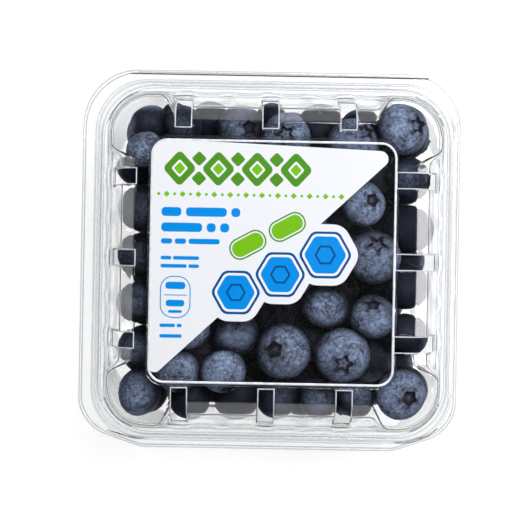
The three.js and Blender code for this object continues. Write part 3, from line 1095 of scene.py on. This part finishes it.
def makeWhiteField():
    bm = bmesh.new()
    left, top = 0.15 - labelShape["width"] / 2, labelShape["length"] / 2 - 0.15
    outline = [
        *arc(left + 5, top - 5, 5, math.pi / 2, math.pi, 10),
        *arc(left + 2.2, -34.0, 2.0, math.pi, math.pi * 1.72, 8),
        *arc(34.2, 34.0, 2.6, -math.pi * 0.26, math.pi * 0.49, 10),
    ]
    addFlat(bm, outline, fieldLevel)
    for index, (x, y, size) in enumerate(tiles):
        addFlat(bm, roundedShape(x, y, size + whiteMargin, 6, 5.5), tileLevel + 0.01 * index)
    finishPrint("printWhite", bm, inks["white"])


def makePrints():
    makeWhiteField()
    green, lime, blue, navy, white = (bmesh.new() for _ in range(5))
    for index in range(lozenges["count"]):
        x = lozenges["first"] + lozenges["pitch"] * index
        for ink, share, radius, level in ((green, 1, 1.6, 0), (white, 0.5, 0.6, 1), (lime, 0.34, 0.4, 2)):
            outline = roundedShape(x, lozenges["y"], lozenges["size"] * share, 4, radius,
                                   wide=lozenges["wide"])
            addFlat(ink, outline, inkLevels[level])
        if index:
            halfway = x - lozenges["pitch"] / 2
            for up in (-lozenges["smallUp"], lozenges["smallUp"]):
                outline = roundedShape(halfway, lozenges["y"] + up, lozenges["small"], 4, 0.7)
                addFlat(green, outline, inkLevels[0])
    for index in range(trimLine["count"]):
        x = trimLine["first"] + trimLine["pitch"] * index
        addFlat(lime, roundedShape(x, trimLine["y"], trimLine["sizes"][index % 2], 4, 0.2), inkLevels[0])
    tilt = Matrix.Rotation(pods["lean"], 2)
    for place in pods["places"]:
        for ink, grow, level in ((green, 1.9, 1), (white, 0.9, 2), (lime, 0, 3)):
            outline = roundedBox(pods["width"] + grow, pods["length"] + grow, 2.4 + grow / 2)
            addFlat(ink, [Vector(place) + tilt @ Vector(point) for point in outline], inkLevels[level])
    for x, y, size in tiles:
        for ink, share, grow, radius, level in (
                (navy, 1, 0.9, 2.6, 3), (white, 1, 0, 2.3, 4), (blue, 1, -0.9, 1.9, 5),
                (navy, 0.45, 0, 0.8, 6), (blue, 0.45, -0.75, 0.5, 7)):
            addFlat(ink, roundedShape(x, y, size * share + grow, 6, radius), inkLevels[level])
    for start, height, tall, lengths in bars:
        for length in lengths:
            outline = roundedBox(length, tall, tall * barRound, start + length / 2, height)
            addFlat(blue, outline, inkLevels[0])
            start += length + tall * 0.5
    for ink, inset, level in ((blue, 0, 0), (white, badge["line"], 1)):
        outline = roundedBox(badge["width"] - 2 * inset, badge["length"] - 2 * inset,
                             badge["radius"] - inset, badge["x"], badge["y"])
        addFlat(ink, outline, inkLevels[level])
    for y, width, tall in badge["bars"]:
        addFlat(blue, roundedBox(width, tall, tall * barRound, badge["x"], y), inkLevels[2])
    for name, bm, ink in (("printGreen", green, "green"), ("printLime", lime, "lime"),
                          ("printBlue", blue, "blue"), ("printDeepBlue", navy, "navy"),
                          ("printLines", white, "white")):
        finishPrint(name, bm, inks[ink])


makeFilm()
makePrints()
print("label printed")


# Floor, light and camera

studio = {
    "floorSize": 3.0,
    "key": {"place": (0.29, 0.34, 0.85), "size": 0.43, "power": 10.2},
    # the strips only shine in the gloss of the sheet
    "rightStrip": {"place": (0.95, 0.0, 0.22), "size": 0.4, "power": 2.4, "glossOnly": True},
    "leftStrip": {"place": (-0.95, 0.05, 0.22), "size": 0.4, "power": 0.3, "glossOnly": True},
    "aim": (0, 0, 0.04),
    "floorColour": 0.26,
    "floorTone": 0.27,  # how pale the floor is to the light it throws on other things
    "floorGlow": 0.80,  # added where it is looked at straight
    "floorGlowThrough": 0.92,  # added where it is looked at through clear sheet
    "horizon": {"height": 0.4, "strength": 0.95},
    "zenith": {"height": 0.9, "strength": 0.015},
    "ambientShare": 0.09,  # of the world's light that falls on dull surfaces
}
view = {"flangeScale": 3.0, "middleX": 255, "middleY": 255, "mouldX": 274, "mouldY": 261.5,
        "distance": 650, "lens": 137.6, "sensor": 36, "roll": 1.05}


def makeFloor():
    bm = bmesh.new()
    bmesh.ops.create_grid(bm, x_segments=8, y_segments=8, size=studio["floorSize"] / 2)
    floor = addObject("floor", meshFrom(bm, "floor"))
    material, shader = newMaterial("paleFloor")
    nodes, links = material.node_tree.nodes, material.node_tree.links
    mottle = addMottle(material, 4, 60)
    tone, thrown = studio["floorColour"], studio["floorTone"]
    lighter = (tone + 0.015, tone + 0.015, tone + 0.01)
    pale = mixColours(material, mottle.outputs["Patches"], (tone, tone, tone), lighter)
    path = nodes.new("ShaderNodeLightPath")
    lighting = path.outputs["Is Diffuse Ray"]
    links.new(mixColours(material, lighting, pale, (thrown, thrown, thrown)), shader.inputs["Base Color"])
    shader.inputs["Roughness"].default_value = 0.9
    shader.inputs["Emission Color"].default_value = (1, 1, 1, 1)
    glow = mapTo(material, path.outputs["Is Camera Ray"], studio["floorGlowThrough"], studio["floorGlow"])
    looked = mapTo(material, lighting, 1, 0)
    links.new(multiply(material, glow, looked), shader.inputs["Emission Strength"])
    floor.data.materials.append(material)


def addSoftbox(name, place, size, power, glossOnly=False):
    light = bpy.data.lights.new(name, "AREA")
    light.shape = "SQUARE"
    light.size = size
    light.energy = power
    lamp = addObject(name, light)
    lamp.location = place
    lamp.visible_diffuse = not glossOnly
    lamp.rotation_euler = (Vector(studio["aim"]) - Vector(place)).to_track_quat("-Z", "Y").to_euler()


# Pale all round the horizon and dark overhead, where the camera looks down from
def makeWorld():
    world = bpy.data.worlds.new("studio")
    world.use_nodes = True
    bpy.context.scene.world = world
    nodes, links = world.node_tree.nodes, world.node_tree.links
    place = nodes.new("ShaderNodeTexCoord")
    split = nodes.new("ShaderNodeSeparateXYZ")
    links.new(place.outputs["Generated"], split.inputs["Vector"])
    horizon, zenith = studio["horizon"], studio["zenith"]
    height = nodes.new("ShaderNodeMapRange")
    height.interpolation_type = "SMOOTHSTEP"
    for name, value in (("From Min", horizon["height"]), ("From Max", zenith["height"]),
                        ("To Min", horizon["strength"]), ("To Max", zenith["strength"])):
        height.inputs[name].default_value = value
    links.new(split.outputs["Z"], height.inputs["Value"])
    path = nodes.new("ShaderNodeLightPath")
    dimmed = mapTo(world, path.outputs["Is Diffuse Ray"], 1, studio["ambientShare"])
    links.new(multiply(world, height.outputs["Result"], dimmed), nodes["Background"].inputs["Strength"])
    nodes["Background"].inputs["Color"].default_value = (1, 1, 1, 1)


def makeCamera():
    camera = bpy.data.cameras.new("camera")
    camera.lens = view["lens"]
    camera.sensor_width = view["sensor"]
    eye = addObject("camera", camera)
    x = mould["x"] + (view["middleX"] - view["mouldX"]) / view["flangeScale"]
    y = mould["y"] - (view["middleY"] - view["mouldY"]) / view["flangeScale"]
    eye.location = Vector((x, y, rimHeight + view["distance"])) * mm
    eye.rotation_euler = (0, 0, math.radians(view["roll"]))
    camera.clip_start = 0.01
    bpy.context.scene.camera = eye


makeFloor()
for boxName in ("key", "rightStrip", "leftStrip"):
    addSoftbox(boxName, **studio[boxName])
makeWorld()
makeCamera()
bpy.context.scene.view_settings.view_transform = "Standard"
print("studio set")
